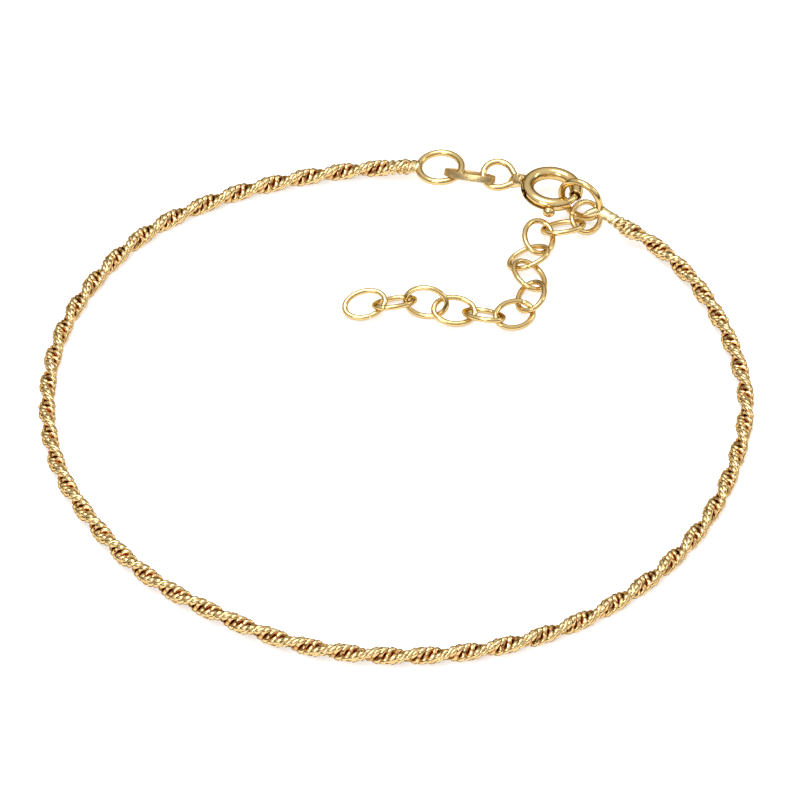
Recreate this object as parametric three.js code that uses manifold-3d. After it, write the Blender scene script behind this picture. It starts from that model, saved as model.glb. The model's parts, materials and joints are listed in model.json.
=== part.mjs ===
// Fine twisted chain bracelet with a spring ring clasp and an extension chain, lying closed on
// a flat surface. Millimetres, +Z up. The round chain is one tube along its route, and every
// ring, link and clasp piece is a solid of its own. Directions are given as a heading about +Z
// from +X, a rise above the surface, and a roll about the piece's own length.
import * as THREE from 'three';
import { mergeVertices } from 'three/addons/utils/BufferGeometryUtils.js';
import Module from 'manifold-3d';

const wasm = await Module();
wasm.setup();

// ---------- driving dimensions ----------
const CHAIN_THICKNESS = 1.32; // across the twisted ribbon as it turns
const CHAIN_SIDES = 8;
const CHAIN_STEPS = 58;

const RING_RADIUS = 1.75; // end rings, to the middle of the wire
const RING_WIRE = 0.5;

const LINK_HALF_LENGTH = 1.65; // extension links, to the middle of the wire
const LINK_HALF_WIDTH = 1.18;
const LINK_WIRE = 0.42;

const STRAP_HALF_LENGTH = 2.13; // flat band link, to the middle of the band
const STRAP_HALF_WIDTH = 1.2;
const STRAP_BAND = 0.56; // width of the band
const STRAP_THICKNESS = 0.18;

const CLASP_RADIUS = 2.0; // spring ring, to the middle of its tube
const CLASP_TUBE = 1.06;
const CLASP_BORE = 0.78;
const CLASP_GAP = { from: -54, to: -20 }; // degrees round the clasp, where the bolt bridges
const CLASP_SLOT = { from: -166, to: -90, width: 0.42 };
const BOLT_WIRE = 0.56;
const BOLT_ARC = { from: -160, to: -13 };
const TRIGGER_ANGLE = -96;
const TRIGGER_NECK = 0.2;
const TRIGGER_REACH = 3.0; // clasp's middle to the middle of the thumb knob
const TRIGGER_KNOB = { radial: 0.37, along: 0.5, up: 0.44 }; // half sizes of the knob

const EYE_RADIUS = 1.21; // clasp's eye, to the middle of the wire
const EYE_WIRE = 0.46;
const NECK_WIDTH = 0.72; // solder between the eye and the clasp's tube
const NECK_THICKNESS = 0.6;

const WIRE_SIDES = 8;
const LINK_STEPS = 18;
const RING_STEPS = 22;
const STRAP_STEPS = 12;
const CLASP_STEPS = 30;
const CLASP_SIDES = 10;
const EYE_STEPS = 20;
const BOLT_STEPS = 20;

// ---------- where the pieces lie ----------
// Middle of the chain round its loop, from the clasp's eye side, over the left and the front,
// to the extension side: angle about the loop's middle in degrees, distance from it, height.
const CHAIN_ROUTE = [
  { angle: 89, reach: 26.97, height: 0.98 },
  { angle: 94, reach: 27.05, height: 0.78 },
  { angle: 99, reach: 27.1, height: 0.68 },
  { angle: 104, reach: 27.1, height: 0.66 },
  { angle: 108, reach: 27.15, height: 0.66 },
  { angle: 120, reach: 27.5, height: 0.66 },
  { angle: 135, reach: 28.0, height: 0.66 },
  { angle: 150, reach: 27.9, height: 0.66 },
  { angle: 165, reach: 27.8, height: 0.66 },
  { angle: 180, reach: 27.6, height: 0.66 },
  { angle: 195, reach: 27.45, height: 0.66 },
  { angle: 210, reach: 27.1, height: 0.66 },
  { angle: 225, reach: 27.1, height: 0.66 },
  { angle: 240, reach: 27.0, height: 0.66 },
  { angle: 255, reach: 27.5, height: 0.66 },
  { angle: 270, reach: 27.65, height: 0.66 },
  { angle: 285, reach: 27.8, height: 0.66 },
  { angle: 300, reach: 27.8, height: 0.66 },
  { angle: 315, reach: 27.6, height: 0.66 },
  { angle: 330, reach: 27.4, height: 0.66 },
  { angle: 345, reach: 27.3, height: 0.66 },
  { angle: 360, reach: 27.55, height: 0.66 },
  { angle: 375, reach: 27.4, height: 0.66 },
  { angle: 387, reach: 27.48, height: 0.66 },
  { angle: 391, reach: 27.52, height: 0.66 },
  { angle: 397, reach: 27.5, height: 0.72 },
  { angle: 403, reach: 27.2, height: 1.0 },
  { angle: 406.5, reach: 26.75, height: 1.3 },
];

const RING_LEFT = { x: 3.55, y: 26.7, z: 1.17, heading: 0, rise: 3, roll: 0 };
const RING_RIGHT = { x: 14.9, y: 21.9, z: 2.02, heading: 330, rise: -4, roll: -93 };
const STRAP = { x: 5.95, y: 25.37, z: 1.46, heading: -24, rise: 9, roll: -35 };
const CLASP = { x: 12.6, y: 23.55, z: 1.7, tipX: -3, tipY: 5 };
const EYE = { x: 8.24, y: 25.3, z: 1.64, heading: 0, rise: 0, roll: 18 };

// The twelve extension links, from the one that hangs on the right end ring outwards.
const EXTENSION = [
  { x: 15.34, y: 21.2, z: 0.75, heading: 247, rise: 0, roll: -27 },
  { x: 13.47, y: 19.86, z: 0.86, heading: 193, rise: -2, roll: 24 },
  { x: 11.47, y: 18.61, z: 0.97, heading: 265, rise: -8, roll: -16 },
  { x: 10.62, y: 16.49, z: 0.71, heading: 197, rise: -16, roll: 11 },
  { x: 10.66, y: 14.39, z: 0.71, heading: 296, rise: -6, roll: -17 },
  { x: 10.76, y: 11.91, z: 0.73, heading: 267, rise: 2, roll: 26 },
  { x: 9.4, y: 9.95, z: 0.61, heading: 213, rise: 4, roll: -18 },
  { x: 6.96, y: 9.69, z: 0.79, heading: 149, rise: -11, roll: 25 },
  { x: 4.6, y: 10.23, z: 0.76, heading: 178, rise: 5, roll: -19 },
  { x: 2.35, y: 10.7, z: 1.26, heading: 171, rise: 2, roll: -63 },
  { x: -0.16, y: 11.02, z: 0.89, heading: 199, rise: 3, roll: -153 },
  { x: -2.55, y: 11.03, z: 0.71, heading: 191, rise: -11, roll: -16 },
];

// ---------- materials ----------
const gold = new THREE.MeshStandardMaterial({ color: 0xd9b45f, roughness: 0.22, metalness: 1 });
const brushedGold = new THREE.MeshStandardMaterial({ color: 0xcfab62, roughness: 0.45, metalness: 1 });
const chainGold = new THREE.MeshStandardMaterial({ color: 0xd2a850, roughness: 0.3, metalness: 1 });

// ---------- helpers ----------
const rad = THREE.MathUtils.degToRad;

// Turns a piece's own axes: X along its length, Y across it, Z out of its plane.
function orientation({ heading, rise, roll }) {
  const turn = new THREE.Matrix4().makeRotationZ(rad(heading));
  turn.multiply(new THREE.Matrix4().makeRotationY(rad(-rise)));
  turn.multiply(new THREE.Matrix4().makeRotationX(rad(roll)));
  return turn;
}

function placement(place) {
  return new THREE.Matrix4().makeTranslation(place.x, place.y, place.z).multiply(orientation(place));
}

// Closed oval in the XY plane.
class Oval extends THREE.Curve {
  constructor(halfLength, halfWidth) {
    super();
    this.halfLength = halfLength;
    this.halfWidth = halfWidth;
  }

  getPoint(t, target = new THREE.Vector3()) {
    const angle = 2 * Math.PI * t;
    return target.set(this.halfLength * Math.cos(angle), this.halfWidth * Math.sin(angle), 0);
  }
}

// Part of a circle in the XY plane, angles in degrees.
class Arc extends THREE.Curve {
  constructor(radius, from, to) {
    super();
    this.radius = radius;
    this.from = from;
    this.to = to;
  }

  getPoint(t, target = new THREE.Vector3()) {
    const angle = rad(this.from + (this.to - this.from) * t);
    return target.set(this.radius * Math.cos(angle), this.radius * Math.sin(angle), 0);
  }
}

// Route whose section stays upright, so that the chain's lowest flat lies level on the surface.
class UprightRoute extends THREE.CatmullRomCurve3 {
  computeFrenetFrames(segments) {
    const frames = { tangents: [], normals: [], binormals: [] };
    for (let i = 0; i <= segments; i += 1) {
      const tangent = this.getTangentAt(i / segments);
      const normal = new THREE.Vector3(0, 0, 1).addScaledVector(tangent, -tangent.z).normalize();
      frames.tangents.push(tangent);
      frames.normals.push(normal);
      frames.binormals.push(new THREE.Vector3().crossVectors(tangent, normal));
    }
    return frames;
  }
}

function wireLoop(curve, wire, steps, sides = WIRE_SIDES) {
  return new THREE.TubeGeometry(curve, steps, wire / 2, sides, true);
}

// Many-sided section whose flats are the given distance apart.
function polygonShape(flats, sides) {
  const shape = new THREE.Shape();
  const radius = flats / 2 / Math.cos(Math.PI / sides);
  for (let i = 0; i < sides; i += 1) {
    const angle = (2 * Math.PI * (i + 0.5)) / sides;
    const x = radius * Math.cos(angle);
    const y = radius * Math.sin(angle);
    if (i === 0) shape.moveTo(x, y);
    else shape.lineTo(x, y);
  }
  shape.closePath();
  return shape;
}

function tubeAlong(curve, flats, steps, sides) {
  const settings = { steps, extrudePath: curve, bevelEnabled: false };
  return new THREE.ExtrudeGeometry(polygonShape(flats, sides), settings);
}

function toSolid(geometry) {
  const bare = geometry.index ? geometry.toNonIndexed() : geometry.clone();
  for (const name of Object.keys(bare.attributes)) {
    if (name !== 'position') bare.deleteAttribute(name);
  }
  const merged = mergeVertices(bare, 1e-4);
  const mesh = new wasm.Mesh({
    numProp: 3,
    vertProperties: merged.attributes.position.array,
    triVerts: new Uint32Array(merged.index.array),
  });
  return new wasm.Manifold(mesh);
}

function toGeometry(solid) {
  const mesh = solid.getMesh();
  const geometry = new THREE.BufferGeometry();
  geometry.setAttribute('position', new THREE.BufferAttribute(mesh.vertProperties, 3));
  geometry.setIndex(new THREE.BufferAttribute(mesh.triVerts, 1));
  geometry.computeVertexNormals();
  return geometry;
}

function namedMesh(name, geometry, material) {
  const mesh = new THREE.Mesh(geometry, material);
  mesh.name = name;
  return mesh;
}

// Straight bar between two points, flattened across the given face direction.
function flatBar({ from, to, widthFrom, widthTo, thickness, face }) {
  const along = new THREE.Vector3().subVectors(to, from);
  const bar = new THREE.CylinderGeometry(widthTo / 2, widthFrom / 2, along.length(), 8, 1);
  bar.scale(1, 1, thickness / widthTo);
  const yAxis = along.clone().normalize();
  const xAxis = new THREE.Vector3().crossVectors(yAxis, face).normalize();
  const zAxis = new THREE.Vector3().crossVectors(xAxis, yAxis);
  const middle = new THREE.Vector3().addVectors(from, to).multiplyScalar(0.5);
  bar.applyMatrix4(new THREE.Matrix4().makeBasis(xAxis, yAxis, zAxis).setPosition(middle));
  return bar;
}

// ---------- the chain ----------
const chainPoints = CHAIN_ROUTE.map(({ angle, reach, height }) => (
  new THREE.Vector3(reach * Math.cos(rad(angle)), reach * Math.sin(rad(angle)), height)
));
const chainCurve = new UprightRoute(chainPoints, false, 'centripetal');

function twistChain() {
  const tube = tubeAlong(chainCurve, CHAIN_THICKNESS, CHAIN_STEPS, CHAIN_SIDES);
  return namedMesh('twist_chain', tube, chainGold);
}

// ---------- end rings, each with the chain's last links filled with solder ----------
const TIP_GAP = 0.14; // between the chain's end and the soldered tip

function endRing(name, place, chainEnd, { onRing, widthAtRing, widthAtChain, thickness, face }) {
  const frame = placement(place);
  const loop = wireLoop(new Oval(RING_RADIUS, RING_RADIUS), RING_WIRE, RING_STEPS);
  loop.applyMatrix4(frame);
  const angle = rad(onRing);
  const root = new THREE.Vector3(RING_RADIUS * Math.cos(angle), RING_RADIUS * Math.sin(angle), 0);
  root.applyMatrix4(frame);
  const tipEnd = chainEnd.point.clone().addScaledVector(chainEnd.outward, TIP_GAP);
  const tip = flatBar({
    from: root, to: tipEnd, widthFrom: widthAtRing, widthTo: widthAtChain, thickness, face,
  });
  return namedMesh(name, toGeometry(toSolid(loop).add(toSolid(tip))), gold);
}

function chainEnd(t, outwardSign) {
  return {
    point: chainCurve.getPoint(t),
    outward: chainCurve.getTangent(t).multiplyScalar(outwardSign),
  };
}

function leftEndRing() {
  return endRing('ring_left', RING_LEFT, chainEnd(0, -1), {
    onRing: 171, widthAtRing: 0.9, widthAtChain: 1.15, thickness: 0.75, face: new THREE.Vector3(0, 0, 1),
  });
}

function rightEndRing() {
  return endRing('ring_right', RING_RIGHT, chainEnd(1, 1), {
    onRing: 5, widthAtRing: 0.85, widthAtChain: 1.15, thickness: 0.6, face: new THREE.Vector3(0, -0.4, 1),
  });
}

// ---------- flat band link between the left ring and the clasp's eye ----------
function ovalShape(halfLength, halfWidth) {
  const shape = new THREE.Shape();
  shape.absellipse(0, 0, halfLength, halfWidth, 0, 2 * Math.PI, false, 0);
  return shape;
}

function strapLink() {
  const half = STRAP_THICKNESS / 2;
  const outline = ovalShape(STRAP_HALF_LENGTH + half, STRAP_HALF_WIDTH + half);
  outline.holes.push(ovalShape(STRAP_HALF_LENGTH - half, STRAP_HALF_WIDTH - half));
  const settings = { depth: STRAP_BAND, bevelEnabled: false, curveSegments: STRAP_STEPS };
  const band = new THREE.ExtrudeGeometry(outline, settings);
  band.translate(0, 0, -STRAP_BAND / 2);
  band.applyMatrix4(placement(STRAP));
  return namedMesh('strap_link', band, brushedGold);
}

// ---------- spring ring clasp, made flat about its own middle ----------
const clasp = new THREE.Group();
clasp.position.set(CLASP.x, CLASP.y, CLASP.z);
clasp.rotation.set(rad(CLASP.tipX), rad(CLASP.tipY), 0, 'YXZ');
clasp.updateMatrix();

function ringSector(innerRadius, outerRadius, from, to, height) {
  const shape = new THREE.Shape();
  shape.absarc(0, 0, outerRadius, rad(from), rad(to), false);
  shape.absarc(0, 0, innerRadius, rad(to), rad(from), true);
  shape.closePath();
  const settings = { depth: height, bevelEnabled: false, curveSegments: CLASP_STEPS / 3 };
  const block = new THREE.ExtrudeGeometry(shape, settings);
  block.translate(0, 0, -height / 2);
  return toSolid(block);
}

// The eye in the clasp's own axes, with the neck that solders it into the tube's wall.
function claspEye() {
  const toClasp = clasp.matrix.clone().invert();
  const frame = toClasp.multiply(placement(EYE));
  const loop = wireLoop(new Oval(EYE_RADIUS, EYE_RADIUS), EYE_WIRE, EYE_STEPS);
  loop.applyMatrix4(frame);
  const middle = new THREE.Vector3().setFromMatrixPosition(frame);
  const across = new THREE.Vector3(-middle.x, -middle.y, -middle.z).normalize();
  const normal = new THREE.Vector3(0, 0, 1).transformDirection(frame);
  across.addScaledVector(normal, -across.dot(normal)).normalize();
  const from = middle.clone().addScaledVector(across, EYE_RADIUS);
  const wall = (CLASP_BORE / 2 + CLASP_TUBE / 2) / 2;
  const outward = new THREE.Vector3(middle.x, middle.y, 0).normalize();
  const to = outward.multiplyScalar(CLASP_RADIUS + wall);
  const neck = flatBar({
    from, to, widthFrom: NECK_WIDTH, widthTo: NECK_WIDTH, thickness: NECK_THICKNESS, face: normal,
  });
  return toSolid(loop).add(toSolid(neck));
}

function claspBody() {
  const circle = new Oval(CLASP_RADIUS, CLASP_RADIUS);
  let solid = toSolid(wireLoop(circle, CLASP_TUBE, CLASP_STEPS, CLASP_SIDES)).add(claspEye());
  solid = solid.subtract(toSolid(wireLoop(circle, CLASP_BORE, CLASP_STEPS, WIRE_SIDES)));
  const inside = CLASP_RADIUS - CLASP_TUBE;
  const reach = CLASP_RADIUS + CLASP_TUBE;
  solid = solid.subtract(ringSector(inside, reach, CLASP_GAP.from, CLASP_GAP.to, 2 * CLASP_TUBE));
  const slot = ringSector(CLASP_RADIUS, reach, CLASP_SLOT.from, CLASP_SLOT.to, CLASP_SLOT.width);
  return namedMesh('clasp_body', toGeometry(solid.subtract(slot)), gold);
}

// The bolt slides round inside the tube and carries the thumb knob through the slot.
function claspBolt() {
  const arc = new Arc(CLASP_RADIUS, BOLT_ARC.from, BOLT_ARC.to);
  const wire = toSolid(tubeAlong(arc, BOLT_WIRE, BOLT_STEPS, WIRE_SIDES));
  const neckLength = TRIGGER_REACH - CLASP_RADIUS;
  const neck = new THREE.CylinderGeometry(TRIGGER_NECK / 2, TRIGGER_NECK / 2, neckLength, 6);
  neck.rotateZ(-Math.PI / 2);
  neck.translate((TRIGGER_REACH + CLASP_RADIUS) / 2, 0, 0);
  const knob = new THREE.SphereGeometry(1, 10, 6);
  knob.scale(TRIGGER_KNOB.radial, TRIGGER_KNOB.along, TRIGGER_KNOB.up);
  knob.translate(TRIGGER_REACH, 0, 0);
  for (const piece of [neck, knob]) piece.rotateZ(rad(TRIGGER_ANGLE));
  return namedMesh('clasp_bolt', toGeometry(wire.add(toSolid(neck)).add(toSolid(knob))), gold);
}

clasp.add(claspBody(), claspBolt());

// ---------- extension chain ----------
function extensionLinks() {
  return EXTENSION.map((place, index) => {
    const loop = wireLoop(new Oval(LINK_HALF_LENGTH, LINK_HALF_WIDTH), LINK_WIRE, LINK_STEPS);
    const link = namedMesh(`extension_link_${String(index + 1).padStart(2, '0')}`, loop, gold);
    link.applyMatrix4(placement(place));
    return link;
  });
}

// ---------- the whole bracelet, its box's bottom centre at the origin ----------
const bracelet = new THREE.Group();
bracelet.add(twistChain(), leftEndRing(), rightEndRing(), strapLink(), clasp, ...extensionLinks());
const box = new THREE.Box3().setFromObject(bracelet, true);
bracelet.position.set(-(box.min.x + box.max.x) / 2, -(box.min.y + box.max.y) / 2, -box.min.z);

export default bracelet;
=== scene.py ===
"""Twisted gold chain bracelet with a spring ring clasp and an extension chain, lying closed on a
pale floor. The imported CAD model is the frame, and every piece here stands for one of its nodes.

Shapes are made in millimetres, so that fine remeshing works, and turned to metres when finished.
"""

import json
import math

import bmesh
import bpy
import numpy as np
from bpy.props import FloatProperty, FloatVectorProperty, PointerProperty
from mathutils import Matrix, Vector


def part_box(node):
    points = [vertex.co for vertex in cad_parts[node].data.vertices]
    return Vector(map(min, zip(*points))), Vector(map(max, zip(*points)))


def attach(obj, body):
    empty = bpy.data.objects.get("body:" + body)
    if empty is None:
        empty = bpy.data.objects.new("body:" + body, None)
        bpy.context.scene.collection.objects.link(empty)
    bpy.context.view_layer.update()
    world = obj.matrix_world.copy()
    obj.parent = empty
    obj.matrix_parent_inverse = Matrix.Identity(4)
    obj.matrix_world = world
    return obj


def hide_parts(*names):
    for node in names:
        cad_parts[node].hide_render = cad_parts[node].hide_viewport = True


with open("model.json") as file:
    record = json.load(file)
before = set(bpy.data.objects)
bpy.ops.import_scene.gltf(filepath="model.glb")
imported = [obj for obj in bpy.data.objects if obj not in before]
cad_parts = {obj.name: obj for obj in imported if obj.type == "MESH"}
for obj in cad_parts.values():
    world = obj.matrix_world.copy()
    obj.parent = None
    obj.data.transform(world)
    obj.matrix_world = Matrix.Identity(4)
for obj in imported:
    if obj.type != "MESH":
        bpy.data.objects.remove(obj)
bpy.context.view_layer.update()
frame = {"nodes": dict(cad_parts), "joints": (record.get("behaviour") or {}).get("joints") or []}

bl_info = {
    "name": "Twisted chain bracelet",
    "version": (1, 0, 0),
    "blender": (4, 5, 0),
    "location": "View3D > Sidebar > Bracelet",
    "description": "Builds a twisted gold chain bracelet with its clasp and extension chain",
    "category": "Add Mesh",
}

MM = 0.001

# ---------- sizes of the CAD pieces, in millimetres ----------
LOOP_MIDDLE = Vector((0.0422, -0.1850, 0.0027))  # middle of the chain's loop in the frame
RING_RADIUS = 1.75
LINK_HALF_LENGTH = 1.65
LINK_HALF_WIDTH = 1.18
STRAP_HALF_LENGTH = 2.13
STRAP_HALF_WIDTH = 1.2
STRAP_BAND = 0.56
STRAP_THICKNESS = 0.18
CLASP_RADIUS = 2.0
CLASP_TUBE = 1.06
CLASP_BORE = 0.78
CLASP_MOUTH = (-54, -20)  # degrees round the clasp
CLASP_SLOT = (-166, -90)
SLOT_WIDTH = 0.42
BOLT_WIRE = 0.56
BOLT_ARC = (-160, -13)
KNOB_ANGLE = -96
KNOB_REACH = 3.0
KNOB_HALF = (0.37, 0.5, 0.44)  # half sizes outwards, along the clasp and across it
EYE_RADIUS = 1.21
EYE_WIRE = 0.46

# ---------- finer shapes that the CAD pieces don't have, in millimetres ----------
PATH_STEP = 0.05  # between points along the chain's middle
ROUND_STEPS, WIRE_SIDES = 120, 20  # of a ring or band, and of its wire
SEAM_START, SEAM_STEP = 70, 47  # degrees round a link to its seam, and more for its number

SOLDER_ROUNDS = 3  # how often solder is smoothed
SOLDER_HEIGHT = 0.03  # a surface this far off the wire counts as solder
TIP_STRAY = 1.6  # how far it may reach beyond an end ring's CAD box

# Solder over the chain's last links: share of the way, width, thickness, how far links show.
TIP_LEFT = [
    (0, 1.1, 0.6, 0.1), (0.1, 1.2, 0.7, 0.25), (0.4, 1.25, 0.8, 0.45), (0.8, 1.2, 0.85, 0.6),
    (1, 1.0, 0.75, 0.6),
]
TIP_RIGHT = [
    (0, 1.1, 0.5, 0), (0.2, 0.95, 0.5, 0.05), (0.5, 1.0, 0.6, 0.25), (0.8, 1.15, 0.75, 0.5),
    (1, 1.1, 0.75, 0.6),
]
TONGUE = [(0, 0.38), (0.35, 0.36), (0.7, 0.3), (1, 0.12)]  # share of its length, radius

SLOT_LIFT = 24  # degrees round the tube that the slot's upper edge climbs
SLOT_CLIMB = (205, 258)  # degrees round the clasp, from the full climb to none

EYE_COAT, EYE_SWELL = 1.16, 0.1  # times the eye's wire, and what its neck side adds
EYE_REACH = 0.26  # how far the wire's middle moves into the neck
# Neck from the eye to the tube: share of the way, half width, half height.
NECK = [
    (-0.25, 0.1, 0.06), (-0.1, 0.34, 0.24), (0.1, 0.5, 0.36), (0.4, 0.54, 0.42), (0.7, 0.54, 0.42),
    (1, 0.6, 0.4),
]
NECK_SHIFT, NECK_LEAN = 0.12, 0.65  # sideways, and how far its section slopes at the eye
# Beads on the neck: share of the way, sideways, height, radius.
BEADS = [(0.45, -0.12, 0.54, 0.2), (0.8, 0.28, 0.56, 0.2)]

# ---------- where the pieces lie, about the middle of the loop ----------
# Angle round the loop in degrees, distance from its middle and height, from the clasp's side,
# over the left and the front, to the extension side.
CHAIN_ROUTE = [
    (89, 26.97, 0.98), (94, 27.05, 0.78), (99, 27.1, 0.68), (104, 27.1, 0.66),
    (108, 27.15, 0.66), (120, 27.5, 0.66), (135, 28.0, 0.66), (150, 27.9, 0.66),
    (165, 27.8, 0.66), (180, 27.6, 0.66), (195, 27.45, 0.66), (210, 27.1, 0.66),
    (225, 27.1, 0.66), (240, 27.0, 0.66), (255, 27.5, 0.66), (270, 27.65, 0.66),
    (285, 27.8, 0.66), (300, 27.8, 0.66), (315, 27.6, 0.66), (330, 27.4, 0.66),
    (345, 27.3, 0.66), (360, 27.55, 0.66), (375, 27.4, 0.66), (387, 27.48, 0.66),
    (391, 27.52, 0.66), (397, 27.5, 0.72), (403, 27.2, 1.0), (406.5, 26.75, 1.3),
]

# How far the chain's twist runs ahead of an even one: distance along the chain, degrees.
TWIST_LEAD = [
    (0, 0), (16, -35), (30, 20), (45, 40), (62, 5), (85, -35), (100, -42), (115, 0),
    (130, 34), (148, -15),
]

RING_LEFT = {"x": 3.55, "y": 26.7, "z": 1.17, "heading": 0, "rise": 3, "roll": 0}
RING_RIGHT = {"x": 14.9, "y": 21.9, "z": 2.02, "heading": 330, "rise": -4, "roll": -93}
EYE = {"x": 8.24, "y": 25.3, "z": 1.64, "heading": 0, "rise": 0, "roll": 18}

LINK_NODES = sorted(name for name in frame["nodes"] if name.startswith("extension_link_"))


# ---------- settings shown in the sidebar ----------
def length(name, description, millimetres):
    return FloatProperty(
        name=name, description=description, default=millimetres * MM, min=0.0,
        unit="LENGTH", precision=5,
    )


def linear(hex_colour):
    """sRGB hex colour as linear red, green, blue and alpha."""
    channels = [int(hex_colour[i:i + 2], 16) / 255 for i in (1, 3, 5)]
    return tuple(c / 12.92 if c <= 0.04045 else ((c + 0.055) / 1.055) ** 2.4 for c in channels) + (1.0,)


def colour(name, description, hex_colour):
    return FloatVectorProperty(
        name=name, description=description, default=linear(hex_colour), size=4, min=0.0, max=1.0,
        subtype="COLOR",
    )


class ChainSettings(bpy.types.PropertyGroup):
    """Sizes of the twisted curb chain."""

    pitch: length("Link pitch", "Distance from one link of the chain to the next", 0.58)
    wire: length("Link wire", "Width of the flattened wire that the chain's links are made of", 0.38)
    wire_height: length("Wire height", "Thickness of the chain's flattened wire", 0.38)
    link_length: length("Link length", "Length of a chain link to the middle of its wire", 1.02)
    width: length("Ribbon width", "Width of the chain's flat ribbon before it is twisted", 1.27)
    thickness: length("Ribbon thickness", "Thickness of the chain's flat ribbon", 1.0)
    half_twist: length("Half twist", "Length of chain in which the ribbon turns over once", 3.07)
    start_angle: FloatProperty(
        name="Start angle", description="Slope of the ribbon where the chain begins",
        default=math.radians(78), subtype="ANGLE",
    )


class WireSettings(bpy.types.PropertyGroup):
    """Sizes of the rings and links."""

    ring: length("Ring wire", "Thickness of the end rings' wire", 0.56)
    link: length("Extension link wire", "Thickness of the extension links' wire", 0.44)
    seam: length("Seam", "Gap where a link's wire ends meet", 0.03)
    strap_edge: length("Strap edge", "Radius of the strap link's worn edges", 0.06)
    solder_grain: length("Solder grain", "Fineness of the soldered shapes", 0.035)


class FinishSettings(bpy.types.PropertyGroup):
    """Colours and finish of the metal."""

    polished: colour("Polished gold", "Colour of the polished gold plate", "#E4C586")
    chain: colour("Chain gold", "Colour of the diamond cut chain", "#EECD92")
    # painted shade: the colour that the chain's metal darkens to deep between its links, where shade
    # falls
    hollow_shade: colour("Hollows", "Colour of the chain's metal deep between its links", "#9A5418")
    brushed: colour("Brushed gold", "Colour of the brushed strap link", "#E2C68E")
    solder: colour("Solder", "Colour of the gold solder", "#EBD09A")
    edge: colour("Edge tint", "Colour that the metal takes at a glancing angle", "#8C6A34")


class StageSettings(bpy.types.PropertyGroup):
    """Camera, floor and light."""

    elevation: FloatProperty(
        name="Camera elevation", description="Angle of the camera above the floor",
        default=math.radians(44.5), subtype="ANGLE",
    )
    distance: length("Camera distance", "From the camera to the middle of the view", 553.5)
    lens: FloatProperty(
        name="Lens", description="Focal length of the camera", default=315.0, subtype="DISTANCE_CAMERA",
    )
    floor: colour("Floor", "Colour of the floor", "#D9D8D6")


# ---------- nodes ----------
def add(tree, kind, inputs=None, **settings):
    """Adds a node, sets its properties, then links or sets its inputs, named or numbered. A node
    among the inputs stands for its first output."""
    node = tree.nodes.new(kind)
    for name, value in settings.items():
        setattr(node, name, value)
    for key, value in (inputs or {}).items():
        if isinstance(value, bpy.types.Node):
            value = value.outputs[0]
        if isinstance(value, bpy.types.NodeSocket):
            tree.links.new(value, node.inputs[key])
        else:
            node.inputs[key].default_value = value
    return node


def shape_tree(name, inputs):
    """A Geometry Nodes tree with these named inputs, and the node that gives them."""
    tree = bpy.data.node_groups.new(name, "GeometryNodeTree")
    tree.interface.new_socket(name="Geometry", in_out="INPUT", socket_type="NodeSocketGeometry")
    for label in inputs:
        tree.interface.new_socket(name=label, in_out="INPUT", socket_type="NodeSocketFloat")
    tree.interface.new_socket(name="Material", in_out="INPUT", socket_type="NodeSocketMaterial")
    tree.interface.new_socket(name="Geometry", in_out="OUTPUT", socket_type="NodeSocketGeometry")
    return tree, add(tree, "NodeGroupInput").outputs


def finish_tree(tree, geometry, material):
    """Ends a tree: real mesh, smooth, in its material."""
    real = add(tree, "GeometryNodeRealizeInstances", {"Geometry": geometry})
    smooth = add(tree, "GeometryNodeSetShadeSmooth", {"Geometry": real})
    painted = add(tree, "GeometryNodeSetMaterial", {"Geometry": smooth, "Material": material})
    add(tree, "NodeGroupOutput", {"Geometry": painted})


def grown(base, tree, values):
    """Runs a tree on a base mesh, in millimetres, and gives the result as a plain mesh."""
    carrier = bpy.data.objects.new("carrier", base)
    bpy.context.scene.collection.objects.link(carrier)
    nodes = carrier.modifiers.new("shape", "NODES")
    nodes.node_group = tree
    for socket in tree.interface.items_tree:
        if socket.in_out == "INPUT" and socket.name in values:
            nodes[socket.identifier] = values[socket.name]
    depsgraph = bpy.context.evaluated_depsgraph_get()
    plain = bpy.data.meshes.new_from_object(carrier.evaluated_get(depsgraph))
    carrier.modifiers.remove(nodes)
    bpy.data.objects.remove(carrier)
    if not plain.polygons:
        raise RuntimeError(f"{tree.name} made no faces")
    return plain


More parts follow.
